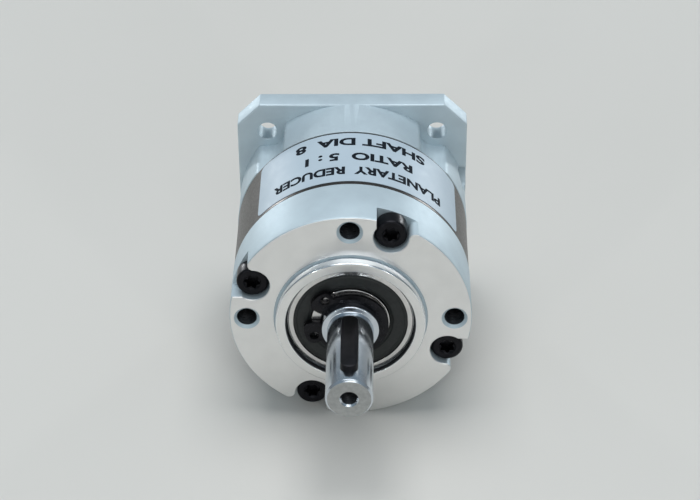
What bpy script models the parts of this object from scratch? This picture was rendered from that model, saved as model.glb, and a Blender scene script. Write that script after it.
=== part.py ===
"""Single-stage inline planetary gearbox, 42 mm frame, 5:1, for a stepper motor.

The gearbox is modelled standing on its motor face, with its axis along local Z,
and an empty at the motor face then lays it on its side with the output shaft
towards -Y. Lengths below are in millimetres; the helpers turn them into metres.
"""

import math

import bmesh
import bpy

MM = 0.001

# Frame
FRAME_SIZE = 42.0
FRAME_RADIUS = FRAME_SIZE / 2
GAP = 0.05  # between faces that touch on the real gearbox

# Heights above the motor face
PLATE_TOP = 4.0
FLANGE_TOP = 13.0
RING_TOP = 30.0
FACE_TOP = 40.5
PILOT_TOP = 42.5
COLLAR_TOP = 44.05
SHAFT_TOP = 62.8

# Input flange and its motor side
CORNER_CHAMFER = 4.2
CORNER_ANGLES = [45, 135, 225, 315]
MOTOR_HOLE_OFFSET = 15.5
MOTOR_HOLE_RADIUS = 1.75
SCALLOP_RADIUS = 3.25
SCALLOP_BLEND = 1.2
MOTOR_PILOT_RADIUS = 11.05
MOTOR_PILOT_DEPTH = 2.0
CLAMP_ROOM_RADIUS = 10.0
CLAMP_ROOM_TOP = 7.45
ACCESS_HOLE_RADIUS = 2.2
CLAMP_SCREW_HEIGHT = 4.95
CLAMP_SCREW_OFFSET = 5.6
CLAMP_BOTTOM = 2.6
CLAMP_TOP = 7.25
CLAMP_RADIUS = 9.3
HUB_RADIUS = 4.0
MOTOR_SHAFT_RADIUS = 2.5
SLOT_WIDTH = 1.0

# Output housing
PILOT_RADIUS = 13.0
FRONT_SEAT_BOTTOM = 35.48
REAR_SEAT_TOP = 34.92
SEAT_SHOULDER_RADIUS = 8.6
POCKET_DEPTH = 3.9
POCKET_ANGLES = [67.5, 157.5, 247.5, 337.5]
HOUSING_SCREW_CIRCLE = 18.25
M4_CIRCLE = 18.0
M4_DRILL_RADIUS = 1.65
M4_MOUTH_RADIUS = 2.25
M4_DEPTH = 8.0

# Ring gear casing, a little smaller than its neighbours, and the label wrapped on it
RING_RADIUS = 20.9
RING_FACETS = 64
LABEL_RADIUS = FRAME_RADIUS
LABEL_THICKNESS = 0.07
LABEL_FACETS = (5, 25)  # first and last, counted on the ring gear from the X axis
LABEL_BOTTOM = 13.6
LABEL_TOP = 29.1

# Gears
MODULE = 0.6
PRESSURE_ANGLE = math.radians(20)
SUN_TEETH = 12
PLANET_TEETH = 18
RING_TEETH = SUN_TEETH + 2 * PLANET_TEETH
TOOTH_THINNING = 0.05
DEDENDUM = 1.25 * MODULE
FLANK_POINTS = 3
PLANET_CIRCLE = MODULE * (SUN_TEETH + PLANET_TEETH) / 2
PLANET_ANGLES = [90, 210, 330]
PLANET_BOTTOM = 17.2
PLANET_TOP = 25.7

# Carrier
CARRIER_RADIUS = 13.2
CARRIER_BOTTOM = 26.6
CARRIER_TOP = 29.6
POST_CIRCLE = 10.5
POST_RADIUS = 2.3
REAR_PLATE_BOTTOM = 13.9
REAR_PLATE_TOP = 16.4
PIN_RADIUS = 2.0

# Shaft and its retaining ring
CIRCLIP_BORE = 4.75
CIRCLIP_BOTTOM = 41.55
CIRCLIP_TOP = 42.55
SHAFT_RADIUS = 4.0
SEAT_RADIUS = 4.95
KEY_WIDTH = 2.95
KEY_BOTTOM = 46.6
KEY_TOP = 60.6
KEY_RISE = 1.2
KEYWAY_DEPTH = 1.8

# Bearings: bore radius, outer radius, bottom height, top height
FRONT_BEARING = (5.0, 11.0, 35.5, 41.5)
REAR_BEARING = (5.0, 9.5, 29.9, 34.9)
INPUT_BEARING = (5.0, 9.5, 7.95, 12.95)
RING_SEGMENTS = 28
SEAL_THICKNESS = 0.6
SEAL_RECESS = 0.15
SEAL_ROOM = 0.85

# Bearing proportions, as shares of the wall between bore and outer radius
BALL_SHARE = 0.247
LAND_SHARE = 0.205
SEAL_SEAT_SHARE = 1.1 / 6
GROOVE_CLEARANCE = 0.19


# Scene, materials and modelling helpers


def clear_scene():
    for item in list(bpy.data.objects):
        bpy.data.objects.remove(item, do_unlink=True)


def new_collection(name):
    group = bpy.data.collections.new(name)
    bpy.context.scene.collection.children.link(group)
    return group


def new_material(name, colour, roughness, metallic):
    material = bpy.data.materials.new(name)
    material.use_nodes = True
    shader = material.node_tree.nodes["Principled BSDF"]
    shader.inputs["Base Color"].default_value = (*colour, 1.0)
    shader.inputs["Roughness"].default_value = roughness
    shader.inputs["Metallic"].default_value = metallic
    material.diffuse_color = (*colour, 1.0)
    return material


def new_empty(name, parent, location=(0, 0, 0)):
    empty = bpy.data.objects.new(name, None)
    parts.objects.link(empty)
    empty.parent = parent
    empty.location = [MM * value for value in location]
    empty.empty_display_size = 5 * MM
    return empty


def place(name, mesh, group, parent, location=(0, 0, 0), rotation=(0, 0, 0)):
    """Put a mesh in the gearbox's frame as a new object."""
    item = bpy.data.objects.new(name, mesh)
    group.objects.link(item)
    item.parent = parent
    item.location = [MM * value for value in location]
    item.rotation_euler = rotation
    if group is cutters:
        item.hide_render = True
        item.display_type = "WIRE"
    return item


def give_material(item, material):
    item.data.materials.clear()
    item.data.materials.append(material)
    item.data.shade_smooth()
    item.data.set_sharp_from_angle(angle=math.radians(35))


def turned_mesh(name, profile, segments, closed=True):
    """Turn (radius, height) points round Z. The points run down the outer side."""
    mesh = bpy.data.meshes.new(name)
    shape = bmesh.new()
    points = [shape.verts.new((MM * radius, 0, MM * height)) for radius, height in profile]
    ends = points[1:] + points[:1] if closed else points[1:]
    for start, end in zip(points, ends):
        shape.edges.new((start, end))
    shape.to_mesh(mesh)
    shape.free()
    source = place(name, mesh, parts, None)
    screw = source.modifiers.new("Turn", "SCREW")
    screw.axis = "Z"
    screw.steps = segments
    screw.render_steps = segments
    screw.use_merge_vertices = True
    screw.merge_threshold = 0.000001
    screw.use_smooth_shade = False
    return baked(source)


def baked(source):
    """Return the object's mesh with its modifiers applied, and remove the object."""
    bpy.context.view_layer.update()
    graph = bpy.context.evaluated_depsgraph_get()
    mesh = bpy.data.meshes.new_from_object(source.evaluated_get(graph))
    mesh.name = source.name
    bpy.data.objects.remove(source, do_unlink=True)
    return mesh


def outline_mesh(name, loops, bottom, top):
    """Extrude closed (x, y) outlines from one height to another; inner loops are holes."""
    curve = bpy.data.curves.new(name, "CURVE")
    curve.dimensions = "2D"
    curve.fill_mode = "BOTH"
    curve.extrude = MM * (top - bottom) / 2
    for loop in loops:
        spline = curve.splines.new("POLY")
        spline.points.add(len(loop) - 1)
        for point, (x, y) in zip(spline.points, loop):
            point.co = (MM * x, MM * y, 0, 1)
        spline.use_cyclic_u = True
    mesh = baked(place(name, curve, parts, None))
    shape = bmesh.new()
    shape.from_mesh(mesh)
    bmesh.ops.translate(shape, verts=shape.verts, vec=(0, 0, MM * (top + bottom) / 2))
    bmesh.ops.remove_doubles(shape, verts=shape.verts, dist=0.000001)
    bmesh.ops.recalc_face_normals(shape, faces=shape.faces)
    shape.to_mesh(mesh)
    shape.free()
    return mesh


def boolean(item, other, operation):
    modifier = item.modifiers.new(operation.title(), "BOOLEAN")
    modifier.operation = operation
    modifier.solver = "EXACT"
    modifier.object = other


def cut(item, *tools):
    for tool in tools:
        boolean(item, tool, "DIFFERENCE")


def join(item, *tools):
    for tool in tools:
        boolean(item, tool, "UNION")


def tool_cylinder(name, radius, bottom, top, x=0.0, y=0.0, segments=14):
    """A round cutter or joining piece along Z."""
    profile = [(0, top), (radius, top), (radius, bottom), (0, bottom)]
    mesh = turned_mesh(name, profile, segments, closed=False)
    return place(name, mesh, cutters, gearbox, (x, y, 0))


# Outlines and profiles


def ring_profile(outer, inner, bottom, top):
    return [(outer, top), (outer, bottom), (inner, bottom), (inner, top)]


def polar(radius, degrees):
    angle = math.radians(degrees)
    return (radius * math.cos(angle), radius * math.sin(angle))


def arc(centre, radius, start, end, steps):
    """Points on an arc, its angles in degrees, both ends included."""
    points = []
    for step in range(steps + 1):
        x, y = polar(radius, start + (end - start) * step / steps)
        points.append((centre[0] + x, centre[1] + y))
    return points


def circle(radius, steps, centre=(0, 0)):
    return arc(centre, radius, 0, 360, steps)[:-1]


def turned_outline(points, degrees):
    """The outline, turned round the gearbox axis."""
    angle = math.radians(degrees)
    cosine = math.cos(angle)
    sine = math.sin(angle)
    return [(x * cosine - y * sine, x * sine + y * cosine) for x, y in points]


def involute(angle):
    return math.tan(angle) - angle


def half_tooth_angle(teeth, radius, thinning):
    """Half the angle that a tooth fills at a radius, in radians."""
    pitch_radius = MODULE * teeth / 2
    base_radius = pitch_radius * math.cos(PRESSURE_ANGLE)
    pressure = math.acos(min(1.0, base_radius / radius))
    at_pitch = math.pi / (2 * teeth) - thinning / (2 * pitch_radius)
    return at_pitch + involute(PRESSURE_ANGLE) - involute(pressure)


def gear_outline(teeth, root_radius, tip_radius, thinning, phase):
    """Closed involute outline with a tooth centred on the phase angle, in degrees."""
    base_radius = MODULE * teeth / 2 * math.cos(PRESSURE_ANGLE)
    flank_start = max(root_radius, base_radius) + 0.02
    radii = [root_radius]
    for step in range(FLANK_POINTS):
        radii.append(flank_start + (tip_radius - flank_start) * step / (FLANK_POINTS - 1))
    flank = [(r, math.degrees(half_tooth_angle(teeth, r, thinning))) for r in radii]
    points = []
    for tooth in range(teeth):
        centre = phase + 360 * tooth / teeth
        points += [polar(radius, centre - half) for radius, half in flank]
        points += [polar(radius, centre + half) for radius, half in reversed(flank)]
    return points


# Fixed pieces


def pocket_outline():
    """Screw pocket at 67.5 degrees: a counterbore that opens to the rim."""
    centre = polar(HOUSING_SCREW_CIRCLE, POCKET_ANGLES[0])
    radius = 3.05
    wall_x = 4.55
    ledge_y = 17.5
    corner_radius = 1.0
    beyond_rim = 24.0
    wall_angle = math.degrees(math.acos((wall_x - centre[0]) / radius))
    rise = ledge_y - corner_radius - centre[1]
    corner_angle = math.degrees(math.asin(rise / (radius + corner_radius)))
    corner_x = centre[0] + (radius + corner_radius) * math.cos(math.radians(corner_angle))
    corner = (corner_x, ledge_y - corner_radius)
    points = arc(centre, radius, wall_angle, 360 + corner_angle, 12)
    points += arc(corner, corner_radius, 180 + corner_angle, 90, 4)[1:]
    points += [(beyond_rim, ledge_y), (beyond_rim, beyond_rim), (wall_x, beyond_rim)]
    return points


def make_output_housing():
    pilot_chamfer = 0.25
    rim_chamfer = 0.3
    lead_in_radius = FRONT_BEARING[1] + 0.25
    lead_in_depth = 0.6
    clearance_radius = 1.6
    front_seat = FRONT_BEARING[1] + GAP
    rear_seat = REAR_BEARING[1] + GAP
    profile = [
        (PILOT_RADIUS - pilot_chamfer, PILOT_TOP),
        (PILOT_RADIUS, PILOT_TOP - pilot_chamfer),
        (PILOT_RADIUS, FACE_TOP),
        (FRAME_RADIUS - rim_chamfer, FACE_TOP),
        (FRAME_RADIUS, FACE_TOP - rim_chamfer),
        (FRAME_RADIUS, RING_TOP),
        (rear_seat, RING_TOP),
        (rear_seat, REAR_SEAT_TOP),
        (SEAT_SHOULDER_RADIUS, REAR_SEAT_TOP),
        (SEAT_SHOULDER_RADIUS, FRONT_SEAT_BOTTOM),
        (front_seat, FRONT_SEAT_BOTTOM),
        (front_seat, PILOT_TOP - lead_in_depth),
        (lead_in_radius, PILOT_TOP),
    ]
    mesh = turned_mesh("output_housing", profile, 48)
    housing = place("output_housing", mesh, parts, gearbox)
    outline = pocket_outline()
    for number, angle in enumerate(POCKET_ANGLES, 1):
        turn = angle - POCKET_ANGLES[0]
        bottom = FACE_TOP - POCKET_DEPTH
        pocket = outline_mesh("pocket", [turned_outline(outline, turn)], bottom, FACE_TOP + 1)
        cut(housing, place(f"cut_pocket_{number}", pocket, cutters, gearbox))
        x, y = polar(HOUSING_SCREW_CIRCLE, angle)
        name = f"cut_clearance_{number}"
        cut(housing, tool_cylinder(name, clearance_radius, RING_TOP - 1, FACE_TOP, x, y))
        x, y = polar(M4_CIRCLE, 90 * number)
        cut(housing, m4_cutter(f"cut_m4_{number}", x, y))
    give_material(housing, aluminium)


def m4_cutter(name, x, y):
    """Tapping drill with a pointed end and a mouth chamfered at 45 degrees."""
    above = FACE_TOP + 0.5
    chamfer = M4_MOUTH_RADIUS - M4_DRILL_RADIUS
    bottom = FACE_TOP - M4_DEPTH
    point = 0.8
    profile = [
        (0, above),
        (M4_MOUTH_RADIUS, above),
        (M4_MOUTH_RADIUS, FACE_TOP),
        (M4_DRILL_RADIUS, FACE_TOP - chamfer),
        (M4_DRILL_RADIUS, bottom),
        (0, bottom - point),
    ]
    return place(name, turned_mesh(name, profile, 16, closed=False), cutters, gearbox, (x, y, 0))


def make_ring_gear():
    """The tooth spaces are the teeth of a slightly fuller wheel, cut out of the ring."""
    pitch_radius = MODULE * RING_TEETH / 2
    tip_radius = pitch_radius - MODULE
    root_radius = pitch_radius + DEDENDUM
    half_pitch = 180 / RING_TEETH
    spaces = gear_outline(RING_TEETH, tip_radius, root_radius, -TOOTH_THINNING, half_pitch)
    passage_radius = 1.65
    loops = [circle(RING_RADIUS, RING_FACETS), spaces]
    for angle in POCKET_ANGLES:
        loops.append(circle(passage_radius, 16, polar(HOUSING_SCREW_CIRCLE, angle)))
    mesh = outline_mesh("ring_gear", loops, FLANGE_TOP + GAP, RING_TOP - GAP)
    give_material(place("ring_gear", mesh, parts, gearbox), black_steel)


def scallop_bite():
    """Outline of one scallop, centred on the X axis, and half the angle that it fills.

    A blend arc at each end is tangent to the round neck and to the scallop.
    """
    distance = MOTOR_HOLE_OFFSET * math.sqrt(2)
    blend_distance = FRAME_RADIUS - SCALLOP_BLEND
    reach = SCALLOP_RADIUS + SCALLOP_BLEND
    squares = blend_distance**2 + distance**2 - reach**2
    half = math.degrees(math.acos(squares / (2 * blend_distance * distance)))
    before = polar(blend_distance, -half)
    after = polar(blend_distance, half)
    meet = math.degrees(math.atan2(-before[1], distance - before[0]))
    points = arc(before, SCALLOP_BLEND, -half, meet, 4)
    points += arc((distance, 0), SCALLOP_RADIUS, 180 + meet, 180 - meet, 8)[1:-1]
    points += arc(after, SCALLOP_BLEND, -meet, half, 4)
    return points, half


def neck_outline():
    bite, half = scallop_bite()
    points = []
    for corner in CORNER_ANGLES:
        points += turned_outline(bite, corner)
        points += arc((0, 0), FRAME_RADIUS, corner + half, corner + 90 - half, 13)[1:-1]
    return points


def plate_outline():
    edge = FRAME_RADIUS
    corner = FRAME_RADIUS - CORNER_CHAMFER
    points = []
    for quarter in range(4):
        points += turned_outline([(edge, -corner), (edge, corner)], 90 * quarter)
    return points


def make_input_flange():
    plate = outline_mesh("input_flange", [plate_outline()], 0, PLATE_TOP)
    flange = place("input_flange", plate, parts, gearbox)
    neck = outline_mesh("neck", [neck_outline()], PLATE_TOP - 1, FLANGE_TOP)
    join(flange, place("join_neck", neck, cutters, gearbox))
    seat_radius = INPUT_BEARING[1] + GAP
    shoulder_radius = 8.4
    thread_radius = 1.55
    thread_bottom = 6
    bore = [
        (0, FLANGE_TOP + 1),
        (seat_radius, FLANGE_TOP + 1),
        (seat_radius, INPUT_BEARING[2] - GAP),
        (shoulder_radius, INPUT_BEARING[2] - GAP),
        (shoulder_radius, CLAMP_ROOM_TOP),
        (CLAMP_ROOM_RADIUS, CLAMP_ROOM_TOP),
        (CLAMP_ROOM_RADIUS, MOTOR_PILOT_DEPTH),
        (MOTOR_PILOT_RADIUS, MOTOR_PILOT_DEPTH),
        (MOTOR_PILOT_RADIUS, -1),
        (0, -1),
    ]
    cut(flange, place("cut_bore", turned_mesh("bore", bore, 36, closed=False), cutters, gearbox))
    for number, angle in enumerate(POCKET_ANGLES, 1):
        x, y = polar(HOUSING_SCREW_CIRCLE, angle)
        name = f"cut_thread_{number}"
        cut(flange, tool_cylinder(name, thread_radius, thread_bottom, FLANGE_TOP + 1, x, y, 12))
    for number, corner in enumerate(CORNER_ANGLES, 1):
        x, y = polar(MOTOR_HOLE_OFFSET * math.sqrt(2), corner)
        cut(flange, tool_cylinder(f"cut_motor_{number}", MOTOR_HOLE_RADIUS, -1, PLATE_TOP + 1, x, y))
    inside_room = CLAMP_ROOM_RADIUS - 2
    access = tool_cylinder("cut_access", ACCESS_HOLE_RADIUS, inside_room, FRAME_RADIUS + 2)
    access.location = (0, MM * CLAMP_SCREW_OFFSET, MM * CLAMP_SCREW_HEIGHT)
    access.rotation_euler = (0, math.pi / 2, 0)
    cut(flange, access)
    give_material(flange, aluminium)


def make_housing_screws():
    """Long M3 socket head screws that hold the three casings together."""
    head_height = 3.0
    head_radius = 2.75
    head_edge = 0.15
    shank_radius = 1.45
    shank_length = 30
    socket_radius = 1.44
    socket_depth = 1.6
    head_bottom = FACE_TOP - POCKET_DEPTH + GAP
    head_top = head_bottom + head_height
    profile = [
        (0, head_top),
        (head_radius - head_edge, head_top),
        (head_radius, head_top - head_edge),
        (head_radius, head_bottom),
        (shank_radius, head_bottom),
        (shank_radius, head_bottom - shank_length),
        (0, head_bottom - shank_length),
    ]
    mesh = turned_mesh("housing_screw", profile, 18, closed=False)
    source = place("housing_screw", mesh, parts, None)
    socket_bottom = head_top - socket_depth
    socket = tool_cylinder("cut_socket", socket_radius, socket_bottom, head_top + 1, segments=6)
    socket.parent = None
    cut(source, socket)
    screw_mesh = baked(source)
    for number, angle in enumerate(POCKET_ANGLES, 1):
        x, y = polar(HOUSING_SCREW_CIRCLE, angle)
        name = f"housing_screw_{number}"
        give_material(place(name, screw_mesh, parts, gearbox, (x, y, 0)), black_steel)


def make_nameplate():
    """Label wrapped over the ring gear, on the same facets as the ring gear."""
    step = 360 / RING_FACETS
    first, last = [step * facet for facet in LABEL_FACETS]
    count = LABEL_FACETS[1] - LABEL_FACETS[0]
    inner = arc((0, 0), LABEL_RADIUS - LABEL_THICKNESS, first, last, count)
    outer = arc((0, 0), LABEL_RADIUS, last, first, count)
    mesh = outline_mesh("nameplate", [inner + outer], LABEL_BOTTOM, LABEL_TOP)
    give_material(place("nameplate", mesh, parts, gearbox), label_film)


# Bearings


def bearing_sizes(bearing):
    """Proportions of a thin deep-groove bearing, from its bore and outer radius."""
    bore, outer, bottom, top = bearing
    wall = outer - bore
    return {
        "pitch": (bore + outer) / 2,
        "middle": (bottom + top) / 2,
        "ball": BALL_SHARE * wall,
        "groove": BALL_SHARE * wall + GROOVE_CLEARANCE,
        "inner_land": (bore + outer) / 2 - LAND_SHARE * wall,
        "outer_land": (bore + outer) / 2 + LAND_SHARE * wall,
        "seal_seat": outer - SEAL_SEAT_SHARE * wall,
    }


def make_bearing_rings(prefix, bearing, sealed):
    bore, outer, bottom, top = bearing
    size = bearing_sizes(bearing)
    pitch, middle, groove = size["pitch"], size["middle"], size["groove"]
    half_width = math.sqrt(groove**2 - (size["outer_land"] - pitch) ** 2)
    outer_profile = [(outer, top), (outer, bottom)]
    seat = [(size["seal_seat"], SEAL_ROOM), (size["outer_land"], SEAL_ROOM)] if sealed else []
    mouth = size["seal_seat"] if sealed else size["outer_land"]
    outer_profile += [(mouth, bottom)] + [(r, bottom + z) for r, z in seat]
    outer_profile += [
        (size["outer_land"], middle - half_width),
        (pitch + groove, middle),
        (size["outer_land"], middle + half_width),
    ]
    outer_profile += [(r, top - z) for r, z in reversed(seat)] + [(mouth, top)]
    inner_profile = [
        (size["inner_land"], top),
        (size["inner_land"], middle + half_width),
        (pitch - groove, middle),
        (size["inner_land"], middle - half_width),
        (size["inner_land"], bottom),
        (bore, bottom),
        (bore, top),
    ]
    for ring, profile in (("outer", outer_profile), ("inner", inner_profile)):
        name = f"{prefix}_{ring}_ring"
        mesh = turned_mesh(name, profile, RING_SEGMENTS)
        give_material(place(name, mesh, parts, gearbox), bearing_steel)


def make_seal(name, bearing, bottom):
    size = bearing_sizes(bearing)
    lip_gap = 0.13
    outer = size["seal_seat"] - GAP
    inner = size["inner_land"] + lip_gap
    top = bottom + SEAL_THICKNESS
    mesh = turned_mesh(name, ring_profile(outer, inner, bottom, top), RING_SEGMENTS)
    give_material(place(name, mesh, parts, gearbox), seal_rubber)


def make_ball_set(name, bearing, count):
    """The balls and the cage that spaces them turn as one."""
    size = bearing_sizes(bearing)
    pitch, middle = size["pitch"], size["middle"]
    ribbon_share = 0.35
    ribbon = ribbon_share * size["ball"]
    profile = ring_profile(pitch + ribbon, pitch - ribbon, middle - ribbon, middle + ribbon)
    cage = place(name, turned_mesh(name, profile, 2 * count), parts, gearbox)
    ball_mesh = bpy.data.meshes.new(f"{name}_ball")
    shape = bmesh.new()
    bmesh.ops.create_uvsphere(shape, u_segments=6, v_segments=5, radius=MM * size["ball"])
    shape.to_mesh(ball_mesh)
    shape.free()
    for number in range(count):
        x, y = polar(pitch, 360 * number / count)
        join(cage, place(f"join_{name}_{number}", ball_mesh, cutters, gearbox, (x, y, middle)))
    give_material(cage, bearing_steel)


def make_bearings():
    make_bearing_rings("front_bearing", FRONT_BEARING, sealed=True)
    make_bearing_rings("rear_bearing", REAR_BEARING, sealed=False)
    make_bearing_rings("input_bearing", INPUT_BEARING, sealed=True)
    for prefix, bearing in (("front_bearing", FRONT_BEARING), ("input_bearing", INPUT_BEARING)):
        make_seal(f"{prefix}_front_seal", bearing, bearing[3] - SEAL_RECESS - SEAL_THICKNESS)
        make_seal(f"{prefix}_rear_seal", bearing, bearing[2] + SEAL_RECESS)
    make_ball_set("front_bearing_balls", FRONT_BEARING, 8)
    make_ball_set("rear_bearing_balls", REAR_BEARING, 9)
    make_ball_set("input_bearing_balls", INPUT_BEARING, 9)


# Output side


def round_ended_outline(width, bottom, top):
    """Slot or key outline, seen from the side that it faces."""
    half = width / 2
    steps = 8
    front_end = arc((0, top - half), half, 0, 180, steps)
    back_end = arc((0, bottom + half), half, 180, 360, steps)
    return front_end + back_end


def place_facing_up(name, mesh, group):
    """Turn a shape drawn in plan, so that its height points out of the top of the shaft."""
    return place(name, mesh, group, gearbox, rotation=(math.pi / 2, 0, math.pi))


def keyway_cutter():
    outline = round_ended_outline(KEY_WIDTH + 2 * GAP, KEY_BOTTOM - GAP, KEY_TOP + GAP)
    mesh = outline_mesh("keyway", [outline], SHAFT_RADIUS - KEYWAY_DEPTH, SHAFT_RADIUS + 1)
    return place_facing_up("cut_keyway", mesh, cutters)


def make_shaft_key():
    """Parallel key with round ends, standing proud of the shaft, its top edge chamfered."""
    outline = round_ended_outline(KEY_WIDTH, KEY_BOTTOM, KEY_TOP)
    bottom = SHAFT_RADIUS - KEYWAY_DEPTH + GAP
    mesh = outline_mesh("shaft_key", [outline], bottom, SHAFT_RADIUS + KEY_RISE)
    key = place_facing_up("shaft_key", mesh, parts)
    chamfer = 0.2
    bevel = key.modifiers.new("Chamfer", "BEVEL")
    bevel.width = MM * chamfer
    bevel.segments = 1
    bevel.limit_method = "ANGLE"
    bevel.angle_limit = math.radians(60)
    give_material(key, black_steel)


def make_output_shaft():
    """Shaft, bearing seats and front half of the planet carrier in one piece."""
    end_hole_bottom = SHAFT_TOP - 8
    end_hole_radius = 1.25
    end_mouth_radius = 1.6
    end_chamfer = 0.35
    collar_chamfer = 0.2
    groove_radius = CIRCLIP_BORE - GAP
    shoulder_radius = 6.0
    shoulder_top = REAR_BEARING[2] - GAP
    profile = [
        (0, end_hole_bottom),
        (end_hole_radius, end_hole_bottom),
        (end_hole_radius, SHAFT_TOP - end_chamfer),
        (end_mouth_radius, SHAFT_TOP),
        (SHAFT_RADIUS - end_chamfer, SHAFT_TOP),
        (SHAFT_RADIUS, SHAFT_TOP - end_chamfer),
        (SHAFT_RADIUS, COLLAR_TOP),
        (SEAT_RADIUS - collar_chamfer, COLLAR_TOP),
        (SEAT_RADIUS, COLLAR_TOP - collar_chamfer),
        (SEAT_RADIUS, CIRCLIP_TOP + GAP),
        (groove_radius, CIRCLIP_TOP + GAP),
        (groove_radius, CIRCLIP_BOTTOM - GAP),
        (SEAT_RADIUS, CIRCLIP_BOTTOM - GAP),
        (SEAT_RADIUS, shoulder_top),
        (shoulder_radius, shoulder_top),
        (shoulder_radius, CARRIER_TOP),
        (CARRIER_RADIUS, CARRIER_TOP),
        (CARRIER_RADIUS, CARRIER_BOTTOM),
        (0, CARRIER_BOTTOM),
    ]
    mesh = turned_mesh("output_shaft", profile, 32, closed=False)
    shaft = place("output_shaft", mesh, parts, gearbox)
    cut(shaft, keyway_cutter())
    hole_bottom, hole_top = 26, 30
    post_bottom = REAR_PLATE_TOP + GAP
    post_top = CARRIER_BOTTOM + 1
    between_planets = 180 / len(PLANET_ANGLES)
    for number, angle in enumerate(PLANET_ANGLES, 1):
        x, y = polar(PLANET_CIRCLE, angle)
        hole = tool_cylinder(f"cut_pin_{number}", PIN_RADIUS + GAP, hole_bottom, hole_top, x, y, 20)
        x, y = polar(POST_CIRCLE, angle + between_planets)
        post = tool_cylinder(f"join_post_{number}", POST_RADIUS, post_bottom, post_top, x, y, 14)
        cut(shaft, hole)
        join(shaft, post)
    give_material(shaft, ground_steel)


def make_carrier_rear_plate():
    sun_opening = 4.9
    outer = circle(CARRIER_RADIUS, 40)
    holes = [circle(sun_opening, 24)]
    for angle in PLANET_ANGLES:
        holes.append(circle(PIN_RADIUS + GAP, 20, polar(PLANET_CIRCLE, angle)))
    mesh = outline_mesh("carrier_rear_plate", [outer] + holes, REAR_PLATE_BOTTOM, REAR_PLATE_TOP)
    give_material(place("carrier_rear_plate", mesh, parts, gearbox), ground_steel)


def make_shaft_circlip():
    """External retaining ring: a band that swells into two drilled lugs at its gap."""
    gap_centre = 165.0
    gap_half = 10.5
    lug_middle = 29.5
    lug_half = lug_middle - gap_half
    lug_radius = 8.2
    band_radius = 6.4
    hole_angle = 35.0
    hole_circle = 6.7
    hole_radius = 0.75
    outer = []
    angle = gap_half
    while angle <= 360 - gap_half:
        from_gap = min(angle, 360 - angle)
        across = (from_gap - lug_middle) / lug_half
        swell = math.sqrt(1 - min(1, across**4))
        radius = band_radius + (lug_radius - band_radius) * swell
        outer.append(polar(radius, gap_centre + angle))
        near_lug = from_gap < 2 * lug_middle
        angle += 4.0 if near_lug else 10.0
    end = gap_centre + 360 - gap_half
    inner = arc((0, 0), CIRCLIP_BORE, end, gap_centre + gap_half, 30)
    loops = [outer + inner]
    for side in (-hole_angle, hole_angle):
        loops.append(circle(hole_radius, 10, polar(hole_circle, gap_centre + side)))
    mesh = outline_mesh("shaft_circlip", loops, CIRCLIP_BOTTOM, CIRCLIP_TOP)
    give_material(place("shaft_circlip", mesh, parts, gearbox), black_steel)


def make_bearing_spacer():
    outer_radius = 6.1
    bottom = REAR_BEARING[3] + GAP
    top = FRONT_BEARING[2] - GAP
    profile = ring_profile(outer_radius, FRONT_BEARING[0], bottom, top)
    mesh = turned_mesh("bearing_spacer", profile, 24)
    give_material(place("bearing_spacer", mesh, parts, gearbox), bearing_steel)


# Planets


def make_planets():
    """Each planet turns on an empty that sits on its pin's axis."""
    pin_bottom, pin_top = REAR_PLATE_BOTTOM + 0.2, CARRIER_TOP - 0.2
    gear_bore = 3.0
    bush_outer, bush_bore = 2.95, 2.1
    washer_outer, washer_bore, washer_thickness = 3.6, 2.15, 0.5
    front_washer_bottom, rear_washer_bottom = 25.9, 16.55
    pin_profile = [(0, pin_top), (PIN_RADIUS, pin_top), (PIN_RADIUS, pin_bottom), (0, pin_bottom)]
    pin_mesh = turned_mesh("planet_pin", pin_profile, 20, closed=False)
    bush_profile = ring_profile(bush_outer, bush_bore, PLANET_BOTTOM, PLANET_TOP)
    bush_mesh = turned_mesh("planet_bush", bush_profile, 20)
    washers = []
    for bottom in (front_washer_bottom, rear_washer_bottom):
        profile = ring_profile(washer_outer, washer_bore, bottom, bottom + washer_thickness)
        washers.append(turned_mesh("washer", profile, 16))
    front_washer, rear_washer = washers
    pitch_radius = MODULE * PLANET_TEETH / 2
    root_radius = pitch_radius - DEDENDUM
    tip_radius = pitch_radius + MODULE
    tooth_step = 360 / PLANET_TEETH
    for number, angle in enumerate(PLANET_ANGLES, 1):
        phase = angle + tooth_step / 2
        teeth = gear_outline(PLANET_TEETH, root_radius, tip_radius, TOOTH_THINNING, phase)
        loops = [teeth, circle(gear_bore, 20)]
        gear_mesh = outline_mesh("planet_gear", loops, PLANET_BOTTOM, PLANET_TOP)
        axis = new_empty(f"planet_axis_{number}", gearbox, (*polar(PLANET_CIRCLE, angle), 0))
        pieces = [
            ("planet_gear", gear_mesh, gear_steel),
            ("planet_bush", bush_mesh, bronze),
            ("planet_pin", pin_mesh, bearing_steel),
            ("planet_front_washer", front_washer, bronze),
            ("planet_rear_washer", rear_washer, bronze),
        ]
        for name, mesh, material in pieces:
            give_material(place(f"{name}_{number}", mesh, parts, axis), material)


# Input side


def box_cutter(name, low, high):
    bpy.ops.mesh.primitive_cube_add(size=1)
    box = bpy.context.object
    mesh = box.data
    size = [high[i] - low[i] for i in range(3)]
    middle = [(high[i] + low[i]) / 2 for i in range(3)]
    for vertex in mesh.vertices:
        vertex.co = [MM * vertex.co[i] * size[i] for i in range(3)]
    bpy.data.objects.remove(box, do_unlink=True)
    return place(name, mesh, cutters, gearbox, middle)


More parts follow.
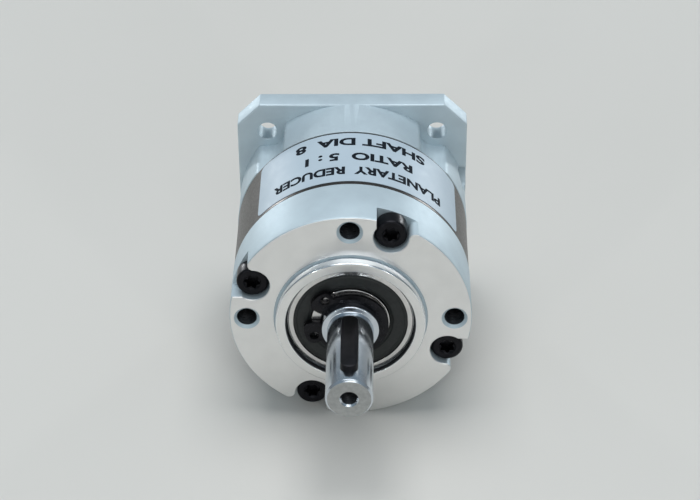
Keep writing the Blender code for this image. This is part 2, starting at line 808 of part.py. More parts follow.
def make_sun_gear_shaft():
    """Sun gear and slotted motor hub in one piece."""
    teeth_bottom = 16.9
    teeth_top = 26.0
    core_radius, core_bottom = 2.6, 16.0
    neck_radius, neck_top = 3.6, 15.4
    collar_radius, collar_top = 5.8, 13.6
    collar_bottom = INPUT_BEARING[3] + GAP
    hub_top = CLAMP_TOP + GAP
    hub_bottom = CLAMP_BOTTOM - 0.2
    bore_top = 12.8
    pitch_radius = MODULE * SUN_TEETH / 2
    profile = [
        (0, teeth_bottom + 1),
        (core_radius, teeth_bottom + 1),
        (core_radius, core_bottom),
        (neck_radius, neck_top),
        (neck_radius, collar_top),
        (collar_radius, collar_top),
        (collar_radius, collar_bottom),
        (SEAT_RADIUS, collar_bottom),
        (SEAT_RADIUS, hub_top),
        (HUB_RADIUS, hub_top),
        (HUB_RADIUS, hub_bottom),
        (MOTOR_SHAFT_RADIUS, hub_bottom),
        (MOTOR_SHAFT_RADIUS, bore_top),
        (0, bore_top),
    ]
    mesh = turned_mesh("sun_gear_shaft", profile, 28, closed=False)
    sun = place("sun_gear_shaft", mesh, parts, gearbox)
    tip_radius = pitch_radius + MODULE
    teeth = gear_outline(SUN_TEETH, pitch_radius - DEDENDUM, tip_radius, TOOTH_THINNING, 0)
    gear = outline_mesh("sun_teeth", [teeth], teeth_bottom, teeth_top)
    join(sun, place("join_sun_teeth", gear, cutters, gearbox))
    half = SLOT_WIDTH / 2
    reach = HUB_RADIUS + 2
    slot_top = hub_top - 0.4
    cut(sun, box_cutter("cut_hub_slot", (-half, -reach, 1), (half, reach, slot_top)))
    give_material(sun, gear_steel)


def make_clamp():
    """Slotted collar that squeezes the hub on the motor shaft, and its cross screw."""
    outline = [circle(CLAMP_RADIUS, 40), circle(HUB_RADIUS + GAP, 28)]
    mesh = outline_mesh("clamp_collar", outline, CLAMP_BOTTOM, CLAMP_TOP)
    collar = place("clamp_collar", mesh, parts, gearbox)
    half = SLOT_WIDTH / 2
    seat_x, seat_y = 2.8, 3.3
    below, above, beyond = 1, 9, 12
    slot_start = 2
    hole_radius = 1.35
    slot = box_cutter("cut_collar_slot", (-half, slot_start, below), (half, beyond, above))
    seat = box_cutter("cut_screw_seat", (seat_x, seat_y, below), (beyond, beyond, above))
    cut(collar, slot, seat)
    across = (0, math.pi / 2, 0)
    screw_place = (0, CLAMP_SCREW_OFFSET, CLAMP_SCREW_HEIGHT)
    hole = tool_cylinder("cut_screw_hole", hole_radius, -beyond, beyond)
    hole.location = [MM * value for value in screw_place]
    hole.rotation_euler = across
    cut(collar, hole)
    give_material(collar, black_steel)
    head_radius, head_height = 2.1, 2.4
    shank_radius, shank_end = 1.25, -6.5
    socket_radius, socket_depth = 1.15, 1.3
    head_bottom = seat_x + GAP
    head_top = head_bottom + head_height
    profile = [
        (0, head_top),
        (head_radius, head_top),
        (head_radius, head_bottom),
        (shank_radius, head_bottom),
        (shank_radius, shank_end),
        (0, shank_end),
    ]
    mesh = turned_mesh("clamp_screw", profile, 18, closed=False)
    screw = place("clamp_screw", mesh, parts, gearbox, screw_place, across)
    socket_bottom = head_top - socket_depth
    name = "cut_clamp_socket"
    socket = tool_cylinder(name, socket_radius, socket_bottom, head_top + 1, segments=6)
    socket.location = screw.location
    socket.rotation_euler = across
    cut(screw, socket)
    give_material(screw, black_steel)


# Build

clear_scene()
parts = new_collection("planetary_gearbox")
cutters = new_collection("cutters")

aluminium = new_material("bead_blasted_aluminium", (0.58, 0.62, 0.65), 0.45, 1.0)
black_steel = new_material("black_oxide_steel", (0.025, 0.025, 0.028), 0.4, 0.6)
ground_steel = new_material("ground_steel", (0.55, 0.55, 0.55), 0.2, 1.0)
gear_steel = new_material("gear_steel", (0.35, 0.35, 0.36), 0.35, 1.0)
bearing_steel = new_material("bearing_steel", (0.6, 0.6, 0.6), 0.18, 1.0)
bronze = new_material("bronze", (0.55, 0.36, 0.16), 0.35, 1.0)
seal_rubber = new_material("seal_rubber", (0.015, 0.015, 0.016), 0.6, 0.0)
label_film = new_material("label_film", (0.55, 0.63, 0.75), 0.4, 0.0)

gearbox = new_empty("gearbox_axis", None, (0, SHAFT_TOP / 2, FRAME_RADIUS))
gearbox.rotation_euler = (math.pi / 2, 0, 0)

make_output_housing()
make_ring_gear()
make_input_flange()
make_housing_screws()
make_nameplate()
make_bearings()
make_output_shaft()
make_shaft_key()
make_carrier_rear_plate()
make_shaft_circlip()
make_bearing_spacer()
make_planets()
make_sun_gear_shaft()
make_clamp()
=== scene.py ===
"""Looks of a 42 mm planetary gearbox: fine pieces around the CAD frame, materials, light, camera.

Pieces are drawn in the gearbox's own frame, in millimetres: x to the right, y up and
z along the axis, from the motor face at 0 to the end of the shaft.
"""

import math

import bmesh
import bpy
from mathutils import Matrix, Vector


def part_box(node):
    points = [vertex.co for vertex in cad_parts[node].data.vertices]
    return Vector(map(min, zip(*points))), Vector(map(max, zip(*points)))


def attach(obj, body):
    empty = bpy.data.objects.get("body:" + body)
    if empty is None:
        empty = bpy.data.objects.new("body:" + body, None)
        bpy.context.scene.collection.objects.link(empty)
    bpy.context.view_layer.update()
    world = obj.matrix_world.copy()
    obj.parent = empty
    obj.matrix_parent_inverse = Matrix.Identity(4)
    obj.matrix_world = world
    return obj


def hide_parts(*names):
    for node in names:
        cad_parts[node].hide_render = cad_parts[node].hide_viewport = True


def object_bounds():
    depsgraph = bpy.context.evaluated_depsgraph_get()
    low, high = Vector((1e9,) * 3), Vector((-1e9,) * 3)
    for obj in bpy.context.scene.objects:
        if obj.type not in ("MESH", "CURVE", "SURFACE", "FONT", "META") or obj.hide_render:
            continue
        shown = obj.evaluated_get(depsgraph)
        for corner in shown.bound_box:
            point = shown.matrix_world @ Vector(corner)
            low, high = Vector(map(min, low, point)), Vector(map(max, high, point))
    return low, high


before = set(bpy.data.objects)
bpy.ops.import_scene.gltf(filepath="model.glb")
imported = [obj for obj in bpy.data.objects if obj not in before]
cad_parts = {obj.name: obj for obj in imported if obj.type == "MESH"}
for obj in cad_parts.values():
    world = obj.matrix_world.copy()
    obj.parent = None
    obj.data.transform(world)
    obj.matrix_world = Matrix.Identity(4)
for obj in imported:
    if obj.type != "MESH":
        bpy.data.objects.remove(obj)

MM = 0.001
cad_low, cad_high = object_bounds()
FRAME_RADIUS = (cad_high.x - cad_low.x) / 2 / MM
AXIS_HEIGHT = cad_high.z / 2
AXIS = Matrix.Translation((0, cad_high.y, AXIS_HEIGHT)) @ Matrix.Rotation(math.pi / 2, 4, "X")


def along(node):
    """Bottom and top of a CAD node along the gearbox axis, in millimetres."""
    low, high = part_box(node)
    return (cad_high.y - high.y) / MM, (cad_high.y - low.y) / MM


def half_width(node):
    low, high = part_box(node)
    return (high.x - low.x) / 2 / MM


# Sizes read from the CAD frame, and the few that its boxes don't give
FLANGE_TOP = along("input_flange")[1]
RING_BOTTOM, RING_TOP = along("ring_gear")
RING_RADIUS = half_width("ring_gear")
HOUSING_BOTTOM, PILOT_TOP = along("output_housing")
PILOT_HEIGHT = 2.0
FACE_TOP = PILOT_TOP - PILOT_HEIGHT
SHAFT_TOP = along("output_shaft")[1]
CARRIER_RADIUS = 13.2
CARRIER_BOTTOM = 26.6
CARRIER_TOP = 29.6
KEY_BOTTOM, KEY_TOP = along("shaft_key")
KEY_WIDTH = 2 * half_width("shaft_key")
KEY_HIGH = (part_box("shaft_key")[1].z - AXIS_HEIGHT) / MM
GAP = 0.05  # between neighbouring pieces
KEYWAY_FLOOR = (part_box("shaft_key")[0].z - AXIS_HEIGHT) / MM - GAP
PILOT_RADIUS = 13.0
SHAFT_RADIUS = 4.0
SEAT_RADIUS = 4.95  # of both shafts, inside the bearings
SCREW_CIRCLE = 18.25
POCKET_ANGLES = [67.5, 157.5, 247.5, 337.5]
CORNERS = [45, 135, 225, 315]
PLANET_ANGLES = [90, 210, 330]
PLANET_CIRCLE = 9.0
M4_CIRCLE = 18.0
MOTOR_HOLE_OFFSET = 15.5
CLAMP_SCREW_OFFSET = 5.6
CLAMP_SCREW_HEIGHT = 4.95
MODULE = 0.6
PRESSURE_ANGLE = math.radians(20)
SUN_TEETH = 12
PLANET_TEETH = 18
RING_TEETH = 48
TOOTH_THINNING = 0.05


# Mesh helpers


def polar(radius, degrees):
    angle = math.radians(degrees)
    return (radius * math.cos(angle), radius * math.sin(angle))


def arc(centre, radius, start, end, steps):
    points = []
    for step in range(steps + 1):
        x, y = polar(radius, start + (end - start) * step / steps)
        points.append((centre[0] + x, centre[1] + y))
    return points


def circle(radius, steps, centre=(0, 0)):
    return arc(centre, radius, 0, 360, steps)[:-1]


def turned_outline(points, degrees):
    angle = math.radians(degrees)
    c, s = math.cos(angle), math.sin(angle)
    return [(x * c - y * s, x * s + y * c) for x, y in points]


def rounded(points, steps=4):
    """A point's third number is the radius of its corner."""
    result = []
    for index, (x, y, *corner_radius) in enumerate(points):
        if not corner_radius:
            result.append((x, y))
            continue
        radius = corner_radius[0]
        corner = Vector((x, y))
        back = (Vector(points[index - 1][:2]) - corner).normalized()
        ahead = (Vector(points[(index + 1) % len(points)][:2]) - corner).normalized()
        half = back.angle(ahead) / 2
        centre = corner + (back + ahead).normalized() * (radius / math.sin(half))
        spoke = corner + back * (radius / math.tan(half)) - centre
        turn = 1 if back.x * ahead.y - back.y * ahead.x < 0 else -1
        for step in range(steps + 1):
            swing = turn * (math.pi - 2 * half) * step / steps
            result.append(tuple(centre + Matrix.Rotation(swing, 2) @ spoke))
    return result


def offset_outline(points, distance):
    """The closed counter-clockwise outline, moved outwards."""
    result = []
    for index, point in enumerate(points):
        here = Vector(point)
        back = (here - Vector(points[index - 1])).normalized()
        ahead = (Vector(points[(index + 1) % len(points)]) - here).normalized()
        way = (back + ahead).normalized()
        scale = distance / max(0.3, way.dot(ahead))
        result.append((here.x + way.y * scale, here.y - way.x * scale))
    return result


def finished(name, shape):
    bmesh.ops.recalc_face_normals(shape, faces=shape.faces)
    mesh = bpy.data.meshes.new(name)
    shape.to_mesh(mesh)
    shape.free()
    item = bpy.data.objects.new(name, mesh)
    bpy.context.scene.collection.objects.link(item)
    return item


def skin(name, rings, closed=False):
    """Faces between rings of equal length; a ring of one point closes an end."""
    shape = bmesh.new()
    rows = [[shape.verts.new([MM * value for value in point]) for point in ring] for ring in rings]
    count = max(len(row) for row in rows)
    pairs = list(zip(rows, rows[1:]))
    if closed:
        pairs.append((rows[-1], rows[0]))
    for upper, lower in pairs:
        for i in range(count):
            j = (i + 1) % count
            if len(upper) == 1:
                shape.faces.new((upper[0], lower[i], lower[j]))
            elif len(lower) == 1:
                shape.faces.new((upper[i], lower[0], upper[j]))
            else:
                shape.faces.new((upper[i], lower[i], lower[j], upper[j]))
    for row in (rows[0], rows[-1]):
        if not closed and len(row) > 1:
            shape.faces.new(row)
    return finished(name, shape)


def turned(name, profile, segments=128, closed=True, centre=(0, 0)):
    """Turn (radius, z) points round the axis; an open profile starts and ends on it."""
    rings = []
    for radius, height in profile:
        if radius == 0:
            rings.append([(*centre, height)])
        else:
            rings.append([(x, y, height) for x, y in circle(radius, segments, centre)])
    return skin(name, rings, closed)


def extruded(name, loops, bottom, top):
    """Closed outlines from one height to another; inner loops are holes."""
    curve = bpy.data.curves.new(name, "CURVE")
    curve.dimensions = "2D"
    curve.fill_mode = "BOTH"
    curve.extrude = MM * (top - bottom) / 2
    for loop in loops:
        spline = curve.splines.new("POLY")
        spline.points.add(len(loop) - 1)
        for point, (x, y) in zip(spline.points, loop):
            point.co = (MM * x, MM * y, 0, 1)
        spline.use_cyclic_u = True
    source = bpy.data.objects.new(name, curve)
    bpy.context.scene.collection.objects.link(source)
    mesh = applied(source)
    shape = bmesh.new()
    shape.from_mesh(mesh)
    bmesh.ops.translate(shape, verts=shape.verts, vec=(0, 0, MM * (top + bottom) / 2))
    bmesh.ops.remove_doubles(shape, verts=shape.verts, dist=1e-6)
    return finished(name, shape)


def lofted(name, outline, steps):
    """A solid whose outline grows by an offset at each height: steps are (offset, z)."""
    rings = [[(x, y, z) for x, y in offset_outline(outline, grow)] for grow, z in steps]
    return skin(name, rings)


def soft_steps(bottom, top, low_radius, high_radius, count=3):
    """Steps for lofted: a solid from bottom to top with rounded edges."""
    steps = []
    for turn in range(count + 1 if low_radius else 1):
        angle = math.radians(90 * turn / count)
        lift = low_radius * (1 - math.cos(angle))
        steps.append((low_radius * (math.sin(angle) - 1), bottom + lift))
    for turn in range(count + 1 if high_radius else 1):
        angle = math.radians(90 * (1 - turn / count))
        lift = high_radius * (1 - math.cos(angle))
        steps.append((high_radius * (math.sin(angle) - 1), top - lift))
    return steps


def threaded(name, tip_radius, root_radius, pitch, bottom, top, centre=(0, 0), segments=32):
    """A tap: a cylinder with a helical ridge standing out of it."""
    rows_per_turn = 8
    count = int((top - bottom) / pitch * rows_per_turn)
    rings = [[(*centre, top)]]
    for row in range(count + 1):
        height = top - (top - bottom) * row / count
        ring = []
        for index in range(segments):
            turn = (height / pitch - index / segments) % 1
            depth = 1 - abs(2 * turn - 1)
            x, y = polar(tip_radius + (root_radius - tip_radius) * depth, 360 * index / segments)
            ring.append((centre[0] + x, centre[1] + y, height))
        rings.append(ring)
    rings.append([(*centre, bottom - tip_radius * 0.5)])
    return skin(name, rings)


def applied(source):
    """The object's mesh with its modifiers applied; the object goes."""
    bpy.context.view_layer.update()
    graph = bpy.context.evaluated_depsgraph_get()
    mesh = bpy.data.meshes.new_from_object(source.evaluated_get(graph))
    bpy.data.objects.remove(source, do_unlink=True)
    return mesh


def bake(item):
    """Apply the item's modifiers to a mesh of its own."""
    bpy.context.view_layer.update()
    graph = bpy.context.evaluated_depsgraph_get()
    mesh = bpy.data.meshes.new_from_object(item.evaluated_get(graph))
    item.modifiers.clear()
    item.data = mesh
    return item


def welded(item):
    """Close the hairline gaps that a cut can leave."""
    widest_gap = 0.002
    mesh = bmesh.new()
    mesh.from_mesh(item.data)
    bmesh.ops.remove_doubles(mesh, verts=mesh.verts, dist=MM * widest_gap)
    mesh.to_mesh(item.data)
    mesh.free()
    return item


def combine(item, others, operation):
    for other in others:
        modifier = item.modifiers.new(operation, "BOOLEAN")
        modifier.operation = operation
        modifier.solver = "EXACT"
        modifier.object = other
    welded(bake(item))
    for other in others:
        bpy.data.objects.remove(other, do_unlink=True)
    return item


def cut(item, *others):
    return combine(item, others, "DIFFERENCE")


def join(item, *others):
    return combine(item, others, "UNION")


def bevel(item, width, segments=2, angle=50):
    modifier = item.modifiers.new("Edges", "BEVEL")
    modifier.width = MM * width
    modifier.segments = segments
    modifier.limit_method = "ANGLE"
    modifier.angle_limit = math.radians(angle)
    modifier.use_clamp_overlap = False
    return bake(item)


def moved(item, matrix):
    item.data.transform(matrix)
    return item


def show(item, node, material, body="housing", smooth=32, replace=True):
    """Put a finished piece in the scene: material, shading, the body that it rides on."""
    item.data.materials.clear()
    for one in material if isinstance(material, list) else [material]:
        item.data.materials.append(one)
    item.data.shade_smooth()
    item.data.set_sharp_from_angle(angle=math.radians(smooth))
    item.matrix_world = AXIS
    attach(item, body)
    if replace:
        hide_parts(node)
    return item


def paint(item, index, chosen):
    """Give a material index to the faces chosen by a rule on their centre (mm) and normal."""
    for face in item.data.polygons:
        if chosen(face.center / MM, face.normal):
            face.material_index = index


# Materials


class Recipe:
    """Node graph of one material; coordinates are the piece's own, in millimetres."""

    def __init__(self, name):
        self.material = bpy.data.materials.new(name)
        self.material.use_nodes = True
        self.tree = self.material.node_tree
        self.shader = self.tree.nodes["Principled BSDF"]
        place = self.node("ShaderNodeTexCoord")
        scale = self.node("ShaderNodeMapping")
        scale.inputs["Scale"].default_value = (1 / MM, 1 / MM, 1 / MM)
        self.link(place.outputs["Object"], scale.inputs["Vector"])
        self.millimetres = scale.outputs["Vector"]
        self.height = None

    def node(self, kind, **settings):
        made = self.tree.nodes.new(kind)
        for key, value in settings.items():
            setattr(made, key, value)
        return made

    def link(self, start, end):
        self.tree.links.new(start, end)

    def stretched(self, stretch):
        mapping = self.node("ShaderNodeMapping")
        mapping.inputs["Scale"].default_value = stretch
        self.link(self.millimetres, mapping.inputs["Vector"])
        return mapping.outputs["Vector"]

    def noise(self, scale, detail=3.0, stretch=None):
        made = self.node("ShaderNodeTexNoise")
        made.inputs["Scale"].default_value = scale
        made.inputs["Detail"].default_value = detail
        self.link(self.stretched(stretch) if stretch else self.millimetres, made.inputs["Vector"])
        return made.outputs["Fac"]

    def between(self, source, low, high, source_low=0.3, source_high=0.7):
        made = self.node("ShaderNodeMapRange")
        made.inputs["From Min"].default_value = source_low
        made.inputs["From Max"].default_value = source_high
        made.inputs["To Min"].default_value = low
        made.inputs["To Max"].default_value = high
        self.link(source, made.inputs["Value"])
        return made.outputs["Result"]

    def colours(self, source, *stops):
        ramp = self.node("ShaderNodeValToRGB").color_ramp
        node = self.tree.nodes[-1]
        for index, (position, colour) in enumerate(stops):
            element = ramp.elements[index] if index < 2 else ramp.elements.new(position)
            element.position = position
            element.color = (*colour, 1)
        self.link(source, node.inputs["Fac"])
        self.link(node.outputs["Color"], self.shader.inputs["Base Color"])
        return self

    def roughness(self, source, low, high):
        self.link(self.between(source, low, high), self.shader.inputs["Roughness"])
        return self

    def bump(self, source, depth_mm):
        made = self.node("ShaderNodeBump")
        made.inputs["Strength"].default_value = 1.0
        made.inputs["Distance"].default_value = MM * depth_mm
        self.link(source, made.inputs["Height"])
        if self.height is not None:
            self.link(self.height, made.inputs["Normal"])
        self.height = made.outputs["Normal"]
        self.link(self.height, self.shader.inputs["Normal"])
        return self

    def set(self, **values):
        for key, value in values.items():
            self.shader.inputs[key.replace("_", " ")].default_value = value
        return self

    def turned_grain(self, strength):
        """Highlights run out from the axis, as on a face finished in a lathe."""
        tangent = self.node("ShaderNodeTangent", direction_type="RADIAL", axis="Z")
        self.link(tangent.outputs["Tangent"], self.shader.inputs["Tangent"])
        self.shader.inputs["Anisotropic"].default_value = strength
        return self


def blasted_aluminium():
    r = Recipe("blasted_aluminium").set(Metallic=0.55)
    r.colours(r.noise(0.25, 4), (0.3, (0.49, 0.58, 0.63)), (0.7, (0.54, 0.64, 0.69)))
    r.roughness(r.noise(2.0, 3), 0.50, 0.60)
    return r.bump(r.noise(9.0, 2), 0.012).bump(r.noise(3.5, 2), 0.010).material


def machined_aluminium():
    r = Recipe("machined_aluminium").set(Metallic=1.0)
    r.colours(r.noise(0.3, 4), (0.3, (0.80, 0.80, 0.79)), (0.7, (0.84, 0.84, 0.83)))
    r.roughness(r.noise(0.8, 3), 0.30, 0.36)
    r.turned_grain(0.75)
    return r.bump(r.noise(0.5, 2), 0.0006).material


def turned_aluminium():
    r = Recipe("turned_aluminium").set(Metallic=1.0)
    r.colours(r.noise(0.4, 4), (0.3, (0.74, 0.78, 0.81)), (0.7, (0.80, 0.83, 0.86)))
    r.roughness(r.noise(1.0, 3, (1, 1, 6)), 0.13, 0.20)
    return r.bump(r.noise(1.0, 3, (0.5, 0.5, 14)), 0.0006).material


# Painted shade: near-black steel for the insides of tapped holes and the groove round the front
# bearing. It stands in for the shade that falls in them.
def thread_shadow():
    r = Recipe("painted_hole_shade").set(Metallic=0.9)
    r.colours(r.noise(1.5, 3), (0.3, (0.030, 0.032, 0.036)), (0.7, (0.060, 0.064, 0.070)))
    r.roughness(r.noise(3.0, 3), 0.30, 0.45)
    return r.bump(r.noise(6.0, 3), 0.004).material


def black_oxide(name="black_oxide", low=0.28, high=0.42, grain=0.006, tint=(0.010, 0.010, 0.012)):
    r = Recipe(name).set(Metallic=0.85)
    lighter = tuple(1.5 * value for value in tint)
    r.colours(r.noise(0.8, 5), (0.35, tint), (0.75, lighter))
    r.roughness(r.noise(2.5, 4), low, high)
    return r.bump(r.noise(6.0, 3), grain).material


def polished_steel():
    r = Recipe("polished_steel").set(Metallic=1.0)
    r.colours(r.noise(0.5, 4), (0.3, (0.57, 0.62, 0.67)), (0.7, (0.65, 0.70, 0.75)))
    r.roughness(r.noise(1.0, 4, (1, 1, 6)), 0.16, 0.22)
    r.turned_grain(0.5)
    return r.bump(r.noise(1.0, 3, (0.6, 0.6, 22)), 0.0009).material


def end_face_steel():
    r = Recipe("end_face_steel").set(Metallic=1.0)
    r.colours(r.noise(1.5, 4), (0.3, (0.34, 0.35, 0.35)), (0.7, (0.43, 0.44, 0.44)))
    r.roughness(r.noise(2.0, 3), 0.34, 0.46)
    r.turned_grain(0.5)
    return r.bump(r.noise(2.5, 3), 0.0008).material


def bearing_steel():
    r = Recipe("bearing_steel").set(Metallic=1.0)
    r.colours(r.noise(0.6, 3), (0.3, (0.60, 0.59, 0.58)), (0.7, (0.68, 0.67, 0.66)))
    r.roughness(r.noise(1.6, 3), 0.16, 0.26)
    return r.bump(r.noise(2.0, 3), 0.0005).material


def seal_rubber():
    r = Recipe("seal_rubber").set(Metallic=0.0)
    r.colours(r.noise(1.2, 4), (0.3, (0.004, 0.006, 0.006)), (0.7, (0.009, 0.012, 0.012)))
    r.roughness(r.noise(2.0, 4), 0.42, 0.58)
    return r.bump(r.noise(12.0, 3), 0.008).material


def gear_steel():
    r = Recipe("gear_steel").set(Metallic=1.0)
    r.colours(r.noise(0.7, 4), (0.3, (0.33, 0.33, 0.34)), (0.7, (0.42, 0.42, 0.43)))
    r.roughness(r.noise(2.0, 4), 0.26, 0.40)
    return r.bump(r.noise(5.0, 3, (1, 1, 0.2)), 0.004).material


def bronze():
    r = Recipe("bronze").set(Metallic=1.0)
    r.colours(r.noise(1.0, 5), (0.3, (0.50, 0.31, 0.13)), (0.7, (0.62, 0.41, 0.19)))
    r.roughness(r.noise(3.0, 4), 0.32, 0.46)
    return r.bump(r.noise(8.0, 3), 0.008).material


def label_film():
    r = Recipe("label_film").set(Metallic=0.0)
    r.colours(r.noise(0.15, 3), (0.3, (0.41, 0.50, 0.57)), (0.7, (0.44, 0.53, 0.60)))
    r.roughness(r.noise(0.8, 3), 0.46, 0.56)
    return r.bump(r.noise(2.0, 3), 0.003).material


def label_ink():
    r = Recipe("label_ink").set(Metallic=0.0)
    r.shader.inputs["Specular IOR Level"].default_value = 0.1
    r.colours(r.noise(3.0, 3), (0.3, (0.004, 0.007, 0.012)), (0.7, (0.008, 0.012, 0.018)))
    r.roughness(r.noise(3.0, 2), 0.65, 0.8)
    return r.bump(r.noise(9.0, 2), 0.002).material


BLASTED = blasted_aluminium()
MACHINED = machined_aluminium()
TURNED = turned_aluminium()
PAINTED_SHADE = thread_shadow()
BLACK = black_oxide()
RING_BLACK = black_oxide("ring_black", 0.30, 0.40, 0.004, (0.055, 0.050, 0.046))
CIRCLIP_BLACK = black_oxide("circlip_black", 0.24, 0.36, 0.004, (0.014, 0.014, 0.016))
POLISHED = polished_steel()
END_FACE = end_face_steel()
BEARING = bearing_steel()
RUBBER = seal_rubber()
GEAR = gear_steel()
BRONZE = bronze()
FILM = label_film()
INK = label_ink()


# Output housing


def pocket_outline():
    """Screw pocket at 67.5 degrees, open to the rim; counter-clockwise."""
    centre = polar(SCREW_CIRCLE, POCKET_ANGLES[0])
    radius = 3.05
    wall_x = 4.55
    ledge_y = 17.5
    corner_radius = 1.0
    beyond_rim = 25.0
    wall_angle = math.degrees(math.acos((wall_x - centre[0]) / radius))
    rise = ledge_y - corner_radius - centre[1]
    corner_angle = math.degrees(math.asin(rise / (radius + corner_radius)))
    corner_x = centre[0] + (radius + corner_radius) * math.cos(math.radians(corner_angle))
    corner = (corner_x, ledge_y - corner_radius)
    points = arc(centre, radius, wall_angle, 360 + corner_angle, 40)
    points += arc(corner, corner_radius, 180 + corner_angle, 90, 10)[1:]
    points += [(beyond_rim, ledge_y), (beyond_rim, beyond_rim), (wall_x, beyond_rim)]
    return points


def m4_hole(x, y):
    """Chamfered mouth and a helical thread below it."""
    mouth_radius, drill_radius, thread_radius = 2.35, 1.65, 1.95
    pitch, depth, chamfer_depth = 0.7, 8, 0.55
    mouth = [(0, FACE_TOP + 1), (mouth_radius, FACE_TOP + 1), (mouth_radius, FACE_TOP + 0.1)]
    mouth += [(1.70, FACE_TOP - chamfer_depth), (0, FACE_TOP - chamfer_depth)]
    bottom, top = FACE_TOP - depth, FACE_TOP - 0.5
    tap = threaded("tap", drill_radius, thread_radius, pitch, bottom, top, (x, y))
    return [turned("mouth", mouth, 48, False, (x, y)), tap]


def make_output_housing():
    bearing_bore = half_width("front_bearing_outer_ring") + GAP
    rear_bore = half_width("rear_bearing_outer_ring") + GAP
    relief_width, relief_depth = 0.34, 0.22  # groove in the face round the pilot
    shoulder_radius, shoulder_bottom, shoulder_top = 8.6, 34.92, 35.48
    lead_in_width, lead_in_depth = 0.22, 0.9  # dark ring round the bearing
    profile = rounded([
        (PILOT_RADIUS, PILOT_TOP, 0.3),
        (PILOT_RADIUS, FACE_TOP - relief_depth),
        (PILOT_RADIUS + relief_width, FACE_TOP - relief_depth),
        (PILOT_RADIUS + relief_width, FACE_TOP - 0.04),
        (PILOT_RADIUS + 0.40, FACE_TOP),
        (FRAME_RADIUS, FACE_TOP, 0.35),
        (FRAME_RADIUS, HOUSING_BOTTOM, 0.15),
        (rear_bore, HOUSING_BOTTOM),
        (rear_bore, shoulder_bottom),
        (shoulder_radius, shoulder_bottom),
        (shoulder_radius, shoulder_top),
        (bearing_bore, shoulder_top),
        (bearing_bore, PILOT_TOP - lead_in_depth),
        (bearing_bore + lead_in_width, PILOT_TOP - lead_in_depth),
        (bearing_bore + lead_in_width, PILOT_TOP, 0.08),
    ])
    housing = turned("housing_body", profile, 192)
    outline = pocket_outline()
    depth = 3.9
    floor_edge = 0.15
    screw_hole = 1.6
    below = HOUSING_BOTTOM - 1
    cutters = []
    for index, angle in enumerate(POCKET_ANGLES):
        shape = turned_outline(outline, angle - POCKET_ANGLES[0])
        steps = [(-floor_edge, FACE_TOP - depth), (0, FACE_TOP - depth + floor_edge)]
        steps += [(0, FACE_TOP - 0.12), (0.5, FACE_TOP + 0.38)]
        cutters.append(lofted("pocket", shape, steps))
        hole = [(0, FACE_TOP), (screw_hole, FACE_TOP), (screw_hole, below), (0, below)]
        cutters.append(turned("screw_hole", hole, 32, False, polar(SCREW_CIRCLE, angle)))
        cutters += m4_hole(*polar(M4_CIRCLE, 90 * index))
    cut(housing, *cutters)
    show(housing, "output_housing", [BLASTED, MACHINED, TURNED, PAINTED_SHADE])
    machined, turned_wall, shadow = 1, 2, 3
    centres = [Vector(polar(M4_CIRCLE, 90 * index)) for index in range(4)]

    def in_lead_in(p, n):
        return 11.0 < p.xy.length < 11.3 and PILOT_TOP - 1 < p.z < PILOT_TOP - 0.1

    def in_thread(p, n):
        return p.z < FACE_TOP - 0.52 and min((p.xy - c).length for c in centres) < 2.3

    paint(housing, machined, lambda p, n: p.z > FACE_TOP - 0.1 and n.z > 0.4)
    near_pilot = PILOT_RADIUS + 0.5
    paint(
        housing,
        turned_wall,
        lambda p, n: p.z > FACE_TOP - 0.3 and p.xy.length < near_pilot and n.z < 0.97,
    )
    paint(housing, turned_wall, lambda p, n: p.xy.length < 11.4)
    # Painted shade: the lead-in groove round the bearing and the tapped M4 bores get the
    # near-black material, for the shade that falls in them.
    paint(housing, shadow, in_lead_in)
    paint(housing, shadow, in_thread)


# Ring gear casing and label


def involute(angle):
    return math.tan(angle) - angle


def gear_outline(teeth, root_radius, tip_radius, thinning, phase, flank_points=6):
    """Closed involute outline with a tooth centred on the phase angle, in degrees."""
    pitch_radius = MODULE * teeth / 2
    base_radius = pitch_radius * math.cos(PRESSURE_ANGLE)
    start = max(root_radius, base_radius) + 0.02
    radii = [root_radius]
    radii += [start + (tip_radius - start) * k / (flank_points - 1) for k in range(flank_points)]
    at_pitch = math.pi / (2 * teeth) - thinning / (2 * pitch_radius)
    flank = []
    for radius in radii:
        pressure = math.acos(min(1.0, base_radius / radius))
        half = at_pitch + involute(PRESSURE_ANGLE) - involute(pressure)
        flank.append((radius, math.degrees(half)))
    points = []
    for tooth in range(teeth):
        centre = phase + 360 * tooth / teeth
        points += [polar(radius, centre - half) for radius, half in flank]
        points += [polar(radius, centre + half) for radius, half in reversed(flank)]
    return points


def make_ring_gear():
    tooth_tips, tooth_roots = 13.8, 15.15
    half_pitch = 180 / RING_TEETH
    spaces = gear_outline(RING_TEETH, tooth_tips, tooth_roots, -TOOTH_THINNING, half_pitch)
    screw_hole = 1.65
    loops = [circle(RING_RADIUS, 192), spaces]
    for angle in POCKET_ANGLES:
        loops.append(circle(screw_hole, 24, polar(SCREW_CIRCLE, angle)))
    ring = extruded("ring_gear_casing", loops, RING_BOTTOM, RING_TOP)
    edge = 0.18
    beyond = 0.5
    cutters = []
    for height, way in ((RING_TOP, 1), (RING_BOTTOM, -1)):
        ring_profile = [
            (RING_RADIUS + 1, height + way * beyond),
            (RING_RADIUS + 1, height - way * (edge + 1)),
            (RING_RADIUS, height - way * edge),
            (RING_RADIUS - edge, height),
            (RING_RADIUS - edge - beyond, height + way * beyond),
        ]
        if way < 0:
            ring_profile.reverse()
        cutters.append(turned("edge_cut", ring_profile, 192))
    cut(ring, *cutters)
    show(ring, "ring_gear", RING_BLACK)


LABEL_RADIUS = 20.97
LABEL_BOTTOM, LABEL_TOP = along("nameplate")
LABEL_START = 28.125
LABEL_END = 140.625
STRIP = 0.5  # width of the flat strips that a wrapped piece is cut into


